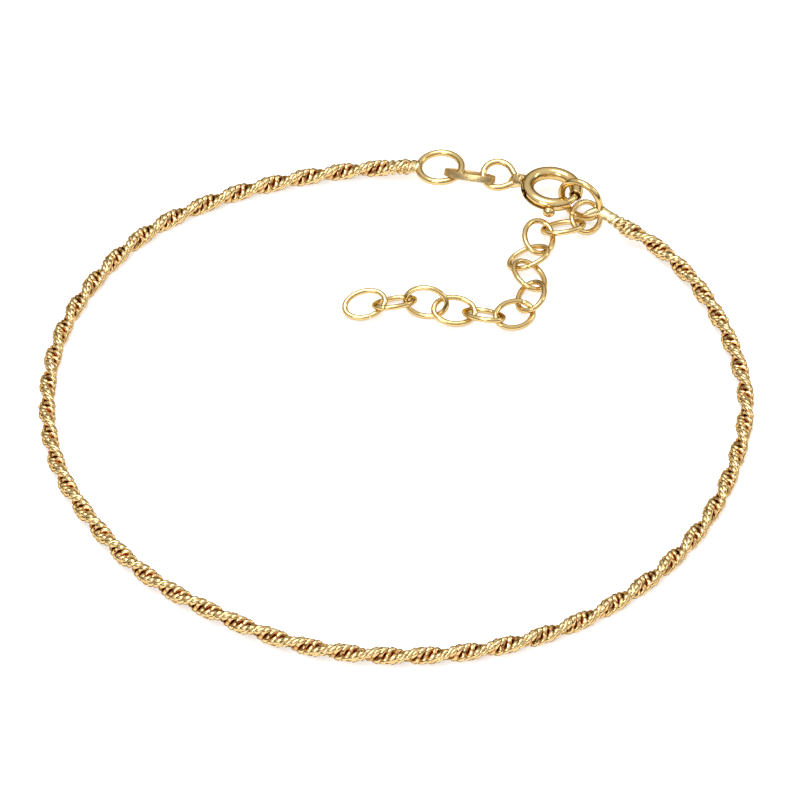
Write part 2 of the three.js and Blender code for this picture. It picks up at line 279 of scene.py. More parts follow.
# ---------- materials ----------
def metal(name, base_colour, edge_colour, wear, wear_size, roughness, ripple, ripple_size, hollow_shade=None):
    """Gold with cloudy roughness and colour of one size, and a fine ripple of another, in mm.
    With a colour for painted shade, the metal darkens to it where the attribute depth is low: painted
    shade deep between the links."""
    material = bpy.data.materials.new(name)
    material.use_nodes = True
    tree = material.node_tree
    shader = tree.nodes["Principled BSDF"]
    shader.inputs["Metallic"].default_value = 1.0
    shader.inputs["Specular Tint"].default_value = edge_colour
    place = add(tree, "ShaderNodeTexCoord").outputs["Object"]
    cloud = add(tree, "ShaderNodeTexNoise", {
        "Vector": place, "Scale": 1 / (wear_size * MM), "Detail": 4.0, "Roughness": 0.6,
    }).outputs["Fac"]
    dull = [channel * (1 - wear) for channel in base_colour[:3]] + [1.0]
    tone = add(tree, "ShaderNodeMix", {0: cloud, 6: base_colour, 7: dull}, data_type="RGBA")
    if hollow_shade:
        # painted shade: where the depth value is low, deep between the links, the colour darkens towards
        # the shade colour
        depth = add(tree, "ShaderNodeAttribute", attribute_name="depth").outputs["Fac"]
        darkest, brightest = 0.2, 0.75
        unshaded_share = add(tree, "ShaderNodeMapRange", {
            "Value": depth, "From Min": darkest, "From Max": brightest,
        })
        tone = add(tree, "ShaderNodeMix", {0: unshaded_share, 6: hollow_shade, 7: tone.outputs[2]}, data_type="RGBA")
    tree.links.new(tone.outputs[2], shader.inputs["Base Color"])
    rough = add(tree, "ShaderNodeMapRange", {
        "Value": cloud, "From Min": 0.3, "From Max": 0.7, "To Min": roughness[0], "To Max": roughness[1],
    })
    tree.links.new(rough.outputs[0], shader.inputs["Roughness"])
    waves = add(tree, "ShaderNodeTexNoise", {
        "Vector": place, "Scale": 1 / (ripple_size * MM), "Detail": 3.0, "Roughness": 0.55,
    }).outputs["Fac"]
    bump = add(tree, "ShaderNodeBump", {"Height": waves, "Strength": 1.0, "Distance": ripple * MM})
    tree.links.new(bump.outputs[0], shader.inputs["Normal"])
    return material


def polished_gold():
    """Drawn and barrel polished gold plate: mirror bright, with the slight waviness of bent wire."""
    finish = bpy.context.scene.bracelet_finish
    return metal(
        "polished_gold", finish.polished, finish.edge, wear=0.12, wear_size=0.9,
        roughness=(0.1, 0.2), ripple=0.012, ripple_size=0.55,
    )


def diamond_cut_gold():
    """Gold chain, its outer faces cut flat by a diamond tool so that they glint, with painted shade
    darkening it deep between the links.
    """
    finish = bpy.context.scene.bracelet_finish
    return metal(
        "diamond_cut_gold", finish.chain, finish.edge, wear=0.18, wear_size=0.5,
        roughness=(0.1, 0.2), ripple=0.006, ripple_size=0.3, hollow_shade=finish.hollow_shade,
    )


def brushed_gold():
    """Rolled strip, rubbed matt: broad soft reflections broken by fine mottling."""
    finish = bpy.context.scene.bracelet_finish
    return metal(
        "brushed_gold", finish.brushed, finish.edge, wear=0.3, wear_size=0.35,
        roughness=(0.25, 0.42), ripple=0.03, ripple_size=0.22,
    )


def gold_solder():
    """Gold solder as it froze: smooth and satin, a little paler than the wire."""
    finish = bpy.context.scene.bracelet_finish
    return metal(
        "gold_solder", finish.solder, finish.edge, wear=0.15, wear_size=0.3,
        roughness=(0.2, 0.34), ripple=0.012, ripple_size=0.4,
    )


def made_once(make):
    """The material that a function of the same name makes, made when it is first asked for."""
    return bpy.data.materials.get(make.__name__) or make()


# ---------- shapes, in millimetres ----------
def skin(rings, loop=False):
    """Closed surface through rings of points, filled at its ends unless they meet."""
    rings = np.asarray(rings, float)
    count, around = rings.shape[:2]
    index = np.arange(count * around).reshape(count, around)
    faces = []
    for i in range(count if loop else count - 1):
        low, high = index[i], index[(i + 1) % count]
        faces += [(low[j], low[j - 1], high[j - 1], high[j]) for j in range(around)]
    if not loop:
        faces += [tuple(index[0]), tuple(index[-1][::-1])]
    return rings.reshape(-1, 3), faces


def mesh_of(name, shapes):
    """One mesh of several closed shapes, each facing outwards."""
    mesh = bpy.data.meshes.new(name)
    work = bmesh.new()
    for points, faces in shapes:
        corners = [work.verts.new(point) for point in points]
        for face in faces:
            work.faces.new([corners[k] for k in face])
    bmesh.ops.remove_doubles(work, verts=work.verts, dist=1e-5)
    bmesh.ops.recalc_face_normals(work, faces=work.faces)
    for face in work.faces:
        face.smooth = True
    work.to_mesh(mesh)
    work.free()
    return mesh


def moved(shape, matrix):
    """A shape with its points moved by a matrix."""
    points, faces = shape
    turned = np.asarray(points) @ np.array(matrix.to_3x3()).T + np.array(matrix.translation)
    return turned, faces


def circle(radius, sides):
    """Points of a circle as (cosine, sine) times its radius."""
    angles = np.linspace(0, 2 * math.pi, sides, endpoint=False)
    return radius * np.stack([np.cos(angles), np.sin(angles)], 1)


def oval_sweep(half_length, half_width, section, steps):
    """A section swept round an oval in the XY plane: its first value points out, its second up.
    section is one list of points, or a function of the angle that gives them."""
    rings = []
    for angle in np.linspace(0, 2 * math.pi, steps, endpoint=False):
        c, s = math.cos(angle), math.sin(angle)
        out = np.array([half_width * c, half_length * s, 0.0])
        out /= np.linalg.norm(out)
        middle = np.array([half_length * c, half_width * s, 0.0])
        points = section(angle) if callable(section) else section
        rings.append([middle + p * out + np.array([0, 0, q]) for p, q in points])
    return skin(rings, loop=True)


def tube(path, radii, sides=16):
    """Round bar along a path with a radius at each point."""
    path = np.asarray(path, float)
    ways = np.gradient(path, axis=0)
    no_path = (0.31, 0.17, 0.93)  # a direction in which no bar starts
    side = np.cross(ways[0], no_path)
    rings = []
    for point, way, radius in zip(path, ways, radii):
        way = way / np.linalg.norm(way)
        side = side - way * (side @ way)
        side /= np.linalg.norm(side)
        up = np.cross(way, side)
        rings.append([point + p * side + q * up for p, q in circle(max(radius, 1e-3), sides)])
    return skin(rings)


def remeshed(mesh, grain):
    """One skin over joined shapes, its creases filled as solder fills them."""
    carrier = bpy.data.objects.new("carrier", mesh)
    bpy.context.scene.collection.objects.link(carrier)
    voxels = carrier.modifiers.new("voxels", "REMESH")
    voxels.mode = "VOXEL"
    voxels.voxel_size = grain
    voxels.use_smooth_shade = True
    relaxed = carrier.modifiers.new("relaxed", "SMOOTH")
    relaxed.factor = 0.5
    relaxed.iterations = SOLDER_ROUNDS
    depsgraph = bpy.context.evaluated_depsgraph_get()
    plain = bpy.data.meshes.new_from_object(carrier.evaluated_get(depsgraph))
    carrier.modifiers.clear()
    bpy.data.objects.remove(carrier)
    return plain


def joined(name, meshes):
    """One mesh of several, keeping their materials."""
    work = bmesh.new()
    materials = []
    for mesh in meshes:
        first = len(work.faces)
        work.from_mesh(mesh)
        work.faces.ensure_lookup_table()
        own = list(mesh.materials)
        for face in work.faces[first:]:
            material = own[face.material_index]
            if material not in materials:
                materials.append(material)
            face.material_index = materials.index(material)
    result = bpy.data.meshes.new(name)
    work.to_mesh(result)
    work.free()
    for material in materials:
        result.materials.append(material)
    return result


def placed(x, y, z, heading=0, rise=0, roll=0):
    """A piece's place: X along it, Y across it and Z out of its plane, turned and moved."""
    turn = (
        Matrix.Rotation(math.radians(heading), 4, "Z")
        @ Matrix.Rotation(math.radians(-rise), 4, "Y")
        @ Matrix.Rotation(math.radians(roll), 4, "X")
    )
    return Matrix.Translation(LOOP_MIDDLE + Vector((x, y, z))) @ turn


def own_axes(node):
    """The place of an oval CAD node: its longest way along X and its thinnest along Z."""
    corners = {tuple(round(c, 7) for c in vertex.co) for vertex in frame["nodes"][node].data.vertices}
    points = np.array(sorted(corners)) / MM
    middle = points.mean(0)
    ways = np.linalg.svd(points - middle, full_matrices=False)[2]
    along = Vector(ways[0]) * (1 if ways[0][0] > 0 else -1)
    out = Vector(ways[2]) * (1 if ways[2][2] > 0 else -1)
    across = out.cross(along)
    place = Matrix((along, across, out)).transposed().to_4x4()
    place.translation = middle
    return place


def clasp_place():
    """The clasp's middle and axes, from the joint that its bolt turns on."""
    joint = frame["joints"][0]
    out = -Vector(joint["axis"]).normalized()
    along = Vector((out.z, 0, -out.x)).normalized()
    place = Matrix((along, out.cross(along), out)).transposed().to_4x4()
    place.translation = Vector(joint["pos_m"]) / MM
    return place


def chain_path():
    """Middle of the chain as closely spaced points: a centripetal curve through its route."""
    knots = [
        Vector((reach * math.cos(math.radians(angle)), reach * math.sin(math.radians(angle)), height))
        for angle, reach, height in CHAIN_ROUTE
    ]
    knots = [2 * knots[0] - knots[1], *knots, 2 * knots[-1] - knots[-2]]
    points = []
    for a, b, c, d in zip(knots, knots[1:], knots[2:], knots[3:]):
        before, here, after = (math.sqrt((q - p).length) for p, q in ((a, b), (b, c), (c, d)))
        leave = ((b - a) / before - (c - a) / (before + here) + (c - b) / here) * here
        arrive = ((c - b) / here - (d - b) / (here + after) + (d - c) / after) * here
        for t in np.arange(0, 1, PATH_STEP / (c - b).length):
            points.append(
                b * (2 * t**3 - 3 * t**2 + 1) + leave * (t**3 - 2 * t**2 + t)
                + c * (3 * t**2 - 2 * t**3) + arrive * (t**3 - t**2)
            )
    points.append(knots[-2])
    return np.array([point + LOOP_MIDDLE for point in points])


# ---------- finished pieces ----------
def finished(name, mesh, body, slot, *nodes, stray=0.25):
    """Turns a mesh to metres and lets it stand for its CAD nodes, which it has to fit closely."""
    mesh.name = name
    mesh.transform(Matrix.Scale(MM, 4))
    piece = bpy.data.objects.new(name, mesh)
    bpy.context.scene.collection.objects.link(piece)
    corners = np.array([vertex.co for vertex in mesh.vertices])
    lowest = np.min([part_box(node)[0] for node in nodes], 0) - stray * MM
    highest = np.max([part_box(node)[1] for node in nodes], 0) + stray * MM
    if (corners.min(0) < lowest).any() or (corners.max(0) > highest).any():
        raise RuntimeError(f"{name} strays from {nodes}: {corners.min(0)} to {corners.max(0)}")
    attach(piece, body)
    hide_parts(*nodes)
    return piece


def chain_tree():
    """Curb links set along a path, each turned a little further about it than the last."""
    tree, given = shape_tree("twisted curb chain", [
        "Link pitch", "Link length", "Link width", "Link thickness", "Wire width", "Wire height",
        "Half twist", "Start angle",
    ])
    path = add(tree, "GeometryNodeMeshToCurve", {"Mesh": given["Geometry"]})
    stations = add(
        tree, "GeometryNodeResampleCurve", {"Curve": path, "Length": given["Link pitch"]}, mode="LENGTH",
    )
    along = add(tree, "GeometryNodeSplineParameter").outputs
    tangent = add(tree, "GeometryNodeInputTangent")
    lead = add(tree, "GeometryNodeInputNamedAttribute", {"Name": "lead"}, data_type="FLOAT")
    turns = add(
        tree, "ShaderNodeMath", {0: along["Length"], 1: given["Half twist"]}, operation="DIVIDE",
    )
    even = add(
        tree, "ShaderNodeMath", {0: turns, 1: -math.pi, 2: given["Start angle"]},
        operation="MULTIPLY_ADD",
    )
    spin = add(tree, "ShaderNodeMath", {0: even, 1: lead}, operation="ADD")
    forward = add(
        tree, "FunctionNodeAlignRotationToVector", {"Vector": tangent}, axis="X", pivot_axis="AUTO",
    )
    level = add(
        tree, "FunctionNodeAlignRotationToVector", {"Rotation": forward, "Vector": (0, 0, 1)},
        axis="Z", pivot_axis="X",
    )
    roll = add(tree, "FunctionNodeAxisAngleToRotation", {"Axis": (1, 0, 0), "Angle": spin})
    facing = add(
        tree, "FunctionNodeRotateRotation", {"Rotation": level, "Rotate By": roll},
        rotation_space="LOCAL",
    )
    link = curb_link(tree, given)
    links = add(tree, "GeometryNodeInstanceOnPoints", {
        "Points": stations, "Instance": link, "Rotation": facing,
    })
    finish_tree(tree, links, given["Material"])
    return tree


def curb_link(tree, given):
    """One curb link: an oval of wire, twisted so that it lies flat against its neighbours, with
    its outer faces cut flat."""
    proud_share = 1.06  # the oval stands proud of the finished ribbon, so that the cut slices it
    straighter = 0.12  # a third wave that makes the oval's sides run straighter
    fuller_ends = 0.6  # the wire gains this share at the link's ends, where links press together
    cut_share = 0.49  # of the ribbon's size, from its middle to its cut faces
    # painted shade also falls on a side of the wire that faces the next link
    between_links = 0.6  # what a side that faces the next link loses of its depth value
    points, sides = 14, 6
    ring = add(tree, "GeometryNodeCurvePrimitiveCircle", {"Resolution": points})
    part = add(tree, "GeometryNodeSplineParameter").outputs["Factor"]
    angle = add(tree, "ShaderNodeMath", {0: part, 1: 2 * math.pi}, operation="MULTIPLY")
    double = add(tree, "ShaderNodeMath", {0: part, 1: 4 * math.pi}, operation="MULTIPLY")
    reach = {}
    for axis, outer, wire_size, swing_angle, wave in (
        ("X", "Link length", None, angle, "COSINE"),
        ("Y", "Link width", "Wire width", angle, "SINE"),
        ("Z", "Link thickness", "Wire height", double, "SINE"),
    ):
        size = given[outer]
        if wire_size:
            proud = add(tree, "ShaderNodeMath", {0: size, 1: proud_share}, operation="MULTIPLY")
            size = add(tree, "ShaderNodeMath", {0: proud, 1: given[wire_size]}, operation="SUBTRACT")
        half = add(
            tree, "ShaderNodeMath", {0: size, 1: -0.5 if axis == "Z" else 0.5}, operation="MULTIPLY",
        )
        swing = add(tree, "ShaderNodeMath", {0: swing_angle}, operation=wave)
        if axis == "X":
            triple = add(tree, "ShaderNodeMath", {0: angle, 1: 3.0}, operation="MULTIPLY")
            wave3 = add(tree, "ShaderNodeMath", {0: triple}, operation="COSINE")
            swing = add(
                tree, "ShaderNodeMath", {0: wave3, 1: straighter, 2: swing}, operation="MULTIPLY_ADD",
            )
        reach[axis] = add(tree, "ShaderNodeMath", {0: half, 1: swing}, operation="MULTIPLY")
    place = add(tree, "ShaderNodeCombineXYZ", reach)
    bent = add(tree, "GeometryNodeSetPosition", {"Geometry": ring, "Position": place})
    end = add(tree, "ShaderNodeMath", {0: angle}, operation="COSINE")
    nearly_end = add(tree, "ShaderNodeMath", {0: end, 1: end}, operation="MULTIPLY")
    fuller = add(
        tree, "ShaderNodeMath", {0: nearly_end, 1: fuller_ends, 2: 1.0}, operation="MULTIPLY_ADD",
    )
    level = add(tree, "GeometryNodeSetCurveNormal", {"Curve": bent}, mode="Z_UP")
    round_section = add(tree, "GeometryNodeCurvePrimitiveCircle", {"Resolution": sides, "Radius": 0.5})
    flattening = add(tree, "ShaderNodeCombineXYZ", {
        "X": given["Wire width"], "Y": given["Wire height"], "Z": 1.0,
    })
    section = add(tree, "GeometryNodeTransform", {"Geometry": round_section, "Scale": flattening})
    wire = add(tree, "GeometryNodeCurveToMesh", {
        "Curve": level, "Profile Curve": section, "Scale": fuller,
    })
    spot = add(tree, "ShaderNodeSeparateXYZ", {0: add(tree, "GeometryNodeInputPosition")})
    cut = {"X": spot.outputs["X"]}
    thin_ways = (("Y", "Link width"), ("Z", "Link thickness"))
    for axis, outer in thin_ways:
        face = add(tree, "ShaderNodeMath", {0: given[outer], 1: cut_share}, operation="MULTIPLY")
        back = add(tree, "ShaderNodeMath", {0: face, 1: -1.0}, operation="MULTIPLY")
        cut[axis] = add(
            tree, "ShaderNodeClamp", {"Value": spot.outputs[axis], "Min": back, "Max": face},
        )
    flat = add(tree, "ShaderNodeCombineXYZ", cut)
    faced = add(tree, "GeometryNodeSetPosition", {"Geometry": wire, "Position": flat})
    # how near each point lies to the ribbon's outside: 1 on its cut faces, 0 at its middle, and
    # less where the wire faces the next link; painted shade darkens the chain where it is low
    nearness = []
    for axis, outer in thin_ways:
        size = add(tree, "ShaderNodeMath", {0: spot.outputs[axis]}, operation="ABSOLUTE")
        twice = add(tree, "ShaderNodeMath", {0: size, 1: 2.0}, operation="MULTIPLY")
        nearness.append(add(tree, "ShaderNodeMath", {0: twice, 1: given[outer]}, operation="DIVIDE"))
    nearest = add(tree, "ShaderNodeMath", dict(enumerate(nearness)), operation="MAXIMUM")
    normal = add(tree, "ShaderNodeSeparateXYZ", {0: add(tree, "GeometryNodeInputNormal")})
    sideways = normal.outputs["X"]
    squared = add(tree, "ShaderNodeMath", {0: sideways, 1: sideways}, operation="MULTIPLY")
    shown = add(
        tree, "ShaderNodeMath", {0: squared, 1: -between_links, 2: nearest}, operation="MULTIPLY_ADD",
    )
    return add(tree, "GeometryNodeStoreNamedAttribute", {
        "Geometry": faced, "Name": "depth", "Value": shown,
    }, data_type="FLOAT", domain="POINT")


def build_chain():
    """The twisted chain as one mesh of real links."""
    sizes = bpy.context.scene.bracelet_chain
    path = chain_path()
    base = bpy.data.meshes.new("chain_path")
    base.from_pydata(path.tolist(), [(i, i + 1) for i in range(len(path) - 1)], [])
    travelled = np.concatenate([[0], np.cumsum(np.linalg.norm(np.diff(path, axis=0), axis=1))])
    stops, leads = zip(*TWIST_LEAD)
    lead = base.attributes.new("lead", "FLOAT", "POINT")
    lead.data.foreach_set("value", np.radians(np.interp(travelled, stops, leads)))
    mesh = grown(base, chain_tree(), {
        "Link pitch": sizes.pitch / MM,
        "Link length": sizes.link_length / MM,
        "Link width": sizes.width / MM,
        "Link thickness": sizes.thickness / MM,
        "Wire width": sizes.wire / MM,
        "Wire height": sizes.wire_height / MM,
        "Half twist": sizes.half_twist / MM,
        "Start angle": sizes.start_angle,
        "Material": made_once(diamond_cut_gold),
    })
    finished("twisted_chain", mesh, "bracelet", "gold_chain", "twist_chain", stray=0.6)


def wire_link_tree():
    """Oval link bent from round wire, its two ends meeting at a butt seam."""
    tree, given = shape_tree("oval wire link", [
        "Half length", "Half width", "Wire", "Seam", "Seam angle",
    ])
    nip_from, nip_width = 0.487, 0.88  # where the wire narrows to its cut ends, and to what
    points, sides = 73, 16
    line = add(tree, "GeometryNodeCurvePrimitiveLine")
    stations = add(tree, "GeometryNodeResampleCurve", {"Curve": line, "Count": points}, mode="COUNT")
    part = add(tree, "GeometryNodeSplineParameter").outputs["Factor"]
    opening = add(
        tree, "ShaderNodeMath", {0: given["Seam"], 1: given["Half length"]}, operation="DIVIDE",
    )
    last = add(tree, "ShaderNodeMath", {0: 2 * math.pi, 1: opening}, operation="SUBTRACT")
    run = add(tree, "ShaderNodeMath", {0: part, 1: last}, operation="MULTIPLY")
    angle = add(tree, "ShaderNodeMath", {0: run, 1: given["Seam angle"]}, operation="ADD")
    swings = []
    for size, wave in (("Half length", "COSINE"), ("Half width", "SINE")):
        swing = add(tree, "ShaderNodeMath", {0: angle}, operation=wave)
        swings.append(add(tree, "ShaderNodeMath", {0: given[size], 1: swing}, operation="MULTIPLY"))
    place = add(tree, "ShaderNodeCombineXYZ", {"X": swings[0], "Y": swings[1]})
    bent = add(tree, "GeometryNodeSetPosition", {"Geometry": stations, "Position": place})
    from_middle = add(tree, "ShaderNodeMath", {0: part, 1: 0.5}, operation="SUBTRACT")
    distance = add(tree, "ShaderNodeMath", {0: from_middle}, operation="ABSOLUTE")
    nip = add(tree, "ShaderNodeMapRange", {
        "Value": distance, "From Min": nip_from, "From Max": 0.5, "To Min": 1.0, "To Max": nip_width,
    })
    radius = add(tree, "ShaderNodeMath", {0: given["Wire"], 1: 0.5}, operation="MULTIPLY")
    section = add(tree, "GeometryNodeCurvePrimitiveCircle", {"Resolution": sides, "Radius": radius})
    wire = add(tree, "GeometryNodeCurveToMesh", {
        "Curve": bent, "Profile Curve": section, "Scale": nip, "Fill Caps": True,
    })
    finish_tree(tree, wire, given["Material"])
    return tree


def build_extension():
    """The extension chain's links, each on its own CAD link."""
    sizes = bpy.context.scene.bracelet_wire
    tree = wire_link_tree()
    for number, node in enumerate(LINK_NODES, 1):
        mesh = grown(bpy.data.meshes.new("empty"), tree, {
            "Half length": LINK_HALF_LENGTH,
            "Half width": LINK_HALF_WIDTH,
            "Wire": sizes.link / MM,
            "Seam": sizes.seam / MM,
            "Seam angle": math.radians(SEAM_START + SEAM_STEP * number),
            "Material": made_once(polished_gold),
        })
        mesh.transform(own_axes(node))
        finished(f"extension_wire_{number:02d}", mesh, "bracelet", "gold_polished", node)


def solder_tip(root, end, sections, face, pitch):
    """Flattened bar of solder over the chain's last links, through sections such as TIP_LEFT's."""
    steps, sides, mean_wave = 60, 36, 0.6
    root, end = Vector(root), Vector(end)
    way = (end - root).normalized()
    side = way.cross(Vector(face)).normalized()
    up = side.cross(way)
    shares, widths, thicknesses, ridges = (np.array(column, float) for column in zip(*sections))
    rings = []
    for share in np.linspace(0, 1, steps):
        width, thickness, ridge = (
            np.interp(share, shares, column) for column in (widths, thicknesses, ridges)
        )
        middle = root.lerp(end, share)
        ring = []
        for p, q in circle(1.0, sides):
            turn = math.atan2(q, p)
            wave = abs(math.sin(math.pi * (share * (end - root).length / pitch - turn / math.pi)))
            swell = 1 + ridge * (wave - mean_wave)
            ring.append(middle + side * (p * width / 2 * swell) + up * (q * thickness / 2 * swell))
        rings.append(ring)
    return skin(rings)


def solder_painted(mesh, middle, out, radius, wire):
    """Paints what stands off the ring's own wire as solder."""
    mesh.materials.clear()
    mesh.materials.append(made_once(polished_gold))
    mesh.materials.append(made_once(gold_solder))
    for polygon in mesh.polygons:
        offset = polygon.center - middle
        height = offset.dot(out)
        flat = (offset - out * height).length - radius
        polygon.material_index = int(math.hypot(height, flat) > wire / 2 + SOLDER_HEIGHT)


def build_end_ring(name, node, place, on_ring, tongue_end, chain_end, sections, face):
    """An end ring with the chain's last links soldered to it, on_ring degrees round it, and the
    solder's tongue inside it. The solder's flat side looks towards face."""
    sizes = bpy.context.scene.bracelet_wire
    wire = sizes.ring / MM
    matrix = placed(**place)
    section = circle(wire / 2, WIRE_SIDES)
    ring = moved(oval_sweep(RING_RADIUS, RING_RADIUS, section, ROUND_STEPS), matrix)
    angle = math.radians(on_ring)
    root = matrix @ Vector((RING_RADIUS * math.cos(angle), RING_RADIUS * math.sin(angle), 0))
    pitch = bpy.context.scene.bracelet_chain.pitch / MM
    tip = solder_tip(root, chain_end, sections, face, pitch)
    shares, radii = zip(*TONGUE)
    tongue = tube([root + Vector(tongue_end) * share for share in shares], radii)
    mesh = remeshed(mesh_of(name, [ring, tip, tongue]), sizes.solder_grain / MM)
    out = matrix.to_3x3() @ Vector((0, 0, 1))
    solder_painted(mesh, matrix.translation, out, RING_RADIUS, wire)
    finished(name, mesh, "bracelet", "gold_polished", node, stray=TIP_STRAY)


def build_end_rings():
    """Both end rings."""
    path = chain_path()
    over_left, over_right = 1.3, 0.65  # how much of the chain the solder covers
    build_end_ring(
        "end_ring_left", "ring_left", RING_LEFT, on_ring=171, tongue_end=(-0.3, 0, 0),
        chain_end=path[round(over_left / PATH_STEP)], sections=TIP_LEFT, face=(0, 0, 1),
    )
    build_end_ring(
        "end_ring_right", "ring_right", RING_RIGHT, on_ring=8, tongue_end=(-1.3, -0.4, -0.2),
        chain_end=path[-1 - round(over_right / PATH_STEP)], sections=TIP_RIGHT, face=(0, -0.4, 1),
    )


def build_strap():
    """The flat band link: a strip with worn round edges, swept round an oval."""
    edge = bpy.context.scene.bracelet_wire.strap_edge / MM
    section = []
    for corner, (out, up) in enumerate(((1, 1), (-1, 1), (-1, -1), (1, -1))):
        middle = (out * (STRAP_THICKNESS / 2 - edge), up * (STRAP_BAND / 2 - edge))
        for step in range(5):
            angle = math.pi / 2 * (corner + step / 4)
            section.append((middle[0] + edge * math.cos(angle), middle[1] + edge * math.sin(angle)))
    band = oval_sweep(STRAP_HALF_LENGTH, STRAP_HALF_WIDTH, section, ROUND_STEPS)
    mesh = mesh_of("strap", [band])
    mesh.materials.append(made_once(brushed_gold))
    mesh.transform(own_axes("strap_link"))
    finished("strap_band", mesh, "bracelet", "gold_brushed", "strap_link")


def slot_half_height(angle):
    """Half the slot's height at an angle round the clasp: straight sides and round ends."""
    outside = CLASP_RADIUS + CLASP_TUBE / 2
    middle = (CLASP_SLOT[0] + CLASP_SLOT[1]) / 2
    turn = (angle - middle + 180) % 360 - 180
    along = abs(math.radians(turn)) * outside
    straight = math.radians((CLASP_SLOT[1] - CLASP_SLOT[0]) / 2) * outside - SLOT_WIDTH / 2
    half = SLOT_WIDTH / 2
    if along <= straight:
        return half
    return math.sqrt(max(0.0, half**2 - (along - straight) ** 2))


def clasp_tube():
    """The clasp's tube round its bore, open at its mouth and slotted on its outer side."""
    steps, around = 110, 44
    slot_end = 4.0  # degrees at each end of the slot with closer steps
    nearest = 0.05  # degrees that two steps keep apart
    lip, chamfer = 0.035, 0.03  # length and depth of the mouth's broken edges
    start, stop = CLASP_MOUTH[1], CLASP_MOUTH[0] + 360
    angles = list(np.linspace(start, stop, steps))
    for end, way in ((CLASP_SLOT[0] + 360, 1), (CLASP_SLOT[1] + 360, -1)):
        angles += [end + way * slot_end * (1 - math.cos(t)) for t in np.linspace(0, math.pi / 2, 9)]
    angles = sorted(set(round(a, 3) for a in angles))
    angles = [a for i, a in enumerate(angles) if i == 0 or a - angles[i - 1] > nearest]
    back = math.degrees(lip / CLASP_RADIUS)
    angles = [a for a in angles if start + back < a < stop - back]
    angles = [start, start + back, *angles, stop - back, stop]
    outer, inner, halves = [], [], []
    for number, angle in enumerate(angles):
        at_mouth = number in (0, len(angles) - 1)
        radii = (CLASP_TUBE / 2 - chamfer * at_mouth, CLASP_BORE / 2 + chamfer * at_mouth)
        half = slot_half_height(angle)
        halves.append(half)
        # the slot's upper edge climbs the tube's side behind the knob; its lower edge stays level
        lift = math.radians(float(np.interp(angle % 360, SLOT_CLIMB, (SLOT_LIFT, 0))))
        c, s = math.cos(math.radians(angle)), math.sin(math.radians(angle))
        for rows, radius in zip((outer, inner), radii):
            first = math.asin(half / radius)
            row = []
            for turn in np.linspace(lift + first, 2 * math.pi - first, around):
                reach = CLASP_RADIUS + radius * math.cos(turn)
                row.append((reach * c, reach * s, radius * math.sin(turn)))
            rows.append(row)
    points = np.array(outer + inner).reshape(-1, 3)
    index = np.arange(len(points)).reshape(2, len(angles), around)
    faces = []
    for i in range(len(angles) - 1):
        for j in range(around - 1):
            for layer in (0, 1):
                a = index[layer]
                faces.append((a[i, j], a[i, j + 1], a[i + 1, j + 1], a[i + 1, j]))
        if halves[i] > 0 or halves[i + 1] > 0:
            for j in (0, around - 1):
                faces.append((index[0, i, j], index[1, i, j], index[1, i + 1, j], index[0, i + 1, j]))
    for i in (0, len(angles) - 1):
        for j in range(around - 1):
            faces.append((index[0, i, j], index[0, i, j + 1], index[1, i, j + 1], index[1, i, j]))
    return points, faces


def clasp_eye(place):
    """The clasp's eye and the neck that solders it to the tube, in the frame's axes."""
    narrowness = 10  # how closely the eye's thicker solder keeps to the neck's side
    matrix = placed(**EYE)
    middle = matrix.translation
    out = matrix.to_3x3() @ Vector((0, 0, 1))
    to_clasp = place.translation - middle
    across = (to_clasp - out * to_clasp.dot(out)).normalized()
    local = matrix.to_3x3().inverted() @ across
    neck_angle = math.atan2(local.y, local.x)

    def section(angle):
        closeness = max(0.0, math.cos(angle - neck_angle)) ** narrowness
        radius = EYE_WIRE / 2 * (EYE_COAT + EYE_SWELL * closeness)
        return circle(radius, WIRE_SIDES) + np.array([EYE_REACH * closeness, 0])

    eye = moved(oval_sweep(EYE_RADIUS, EYE_RADIUS, section, 96), matrix)
    root = middle + across * EYE_RADIUS
    seat = place.inverted() @ middle
    seat.z = 0
    seat = place @ (seat.normalized() * (CLASP_RADIUS + (CLASP_TUBE + CLASP_BORE) / 4))
    side = across.cross(out)
    neck = []
    for share, half_width, half_height in NECK:
        middle_here = root.lerp(seat, share) + side * NECK_SHIFT
        lean = side - out * NECK_LEAN * (1 - share)
        neck.append([
            middle_here + lean * (p * half_width) + out * (q * half_height) for p, q in circle(1, 24)
        ])
    beads = []
    for along, sideways, up, size in BEADS:
        spot = root.lerp(seat, along) + side * sideways + out * up
        beads.append(tube(
            [spot + Vector((0, 0, size * math.cos(t))) for t in np.linspace(math.pi, 0, 9)],
            [size * math.sin(t) for t in np.linspace(0, math.pi, 9)],
        ))
    return [eye, skin(neck), *beads], (middle, out)


def build_clasp_body():
    """The spring ring's body with its eye."""
    sizes = bpy.context.scene.bracelet_wire
    place = clasp_place()
    body = mesh_of("clasp_tube", [clasp_tube()])
    body.set_sharp_from_angle(angle=math.radians(50))
    body.materials.append(made_once(polished_gold))
    body.transform(place)
    shapes, (middle, out) = clasp_eye(place)
    eye = remeshed(mesh_of("clasp_eye", shapes), sizes.solder_grain / MM)
    solder_painted(eye, middle, out, EYE_RADIUS, EYE_WIRE * (EYE_COAT + EYE_SWELL))
    mesh = joined("clasp", [body, eye])
    finished("spring_ring_body", mesh, "bracelet", "gold_polished", "clasp_body", stray=0.4)


def lathe(profile, across, sides=24):
    """A profile of (height, radius) turned about the X axis, and a share as wide across."""
    return skin([
        [(height, p, q * across) for p, q in circle(max(radius, 1e-3), sides)]
        for height, radius in profile
    ])


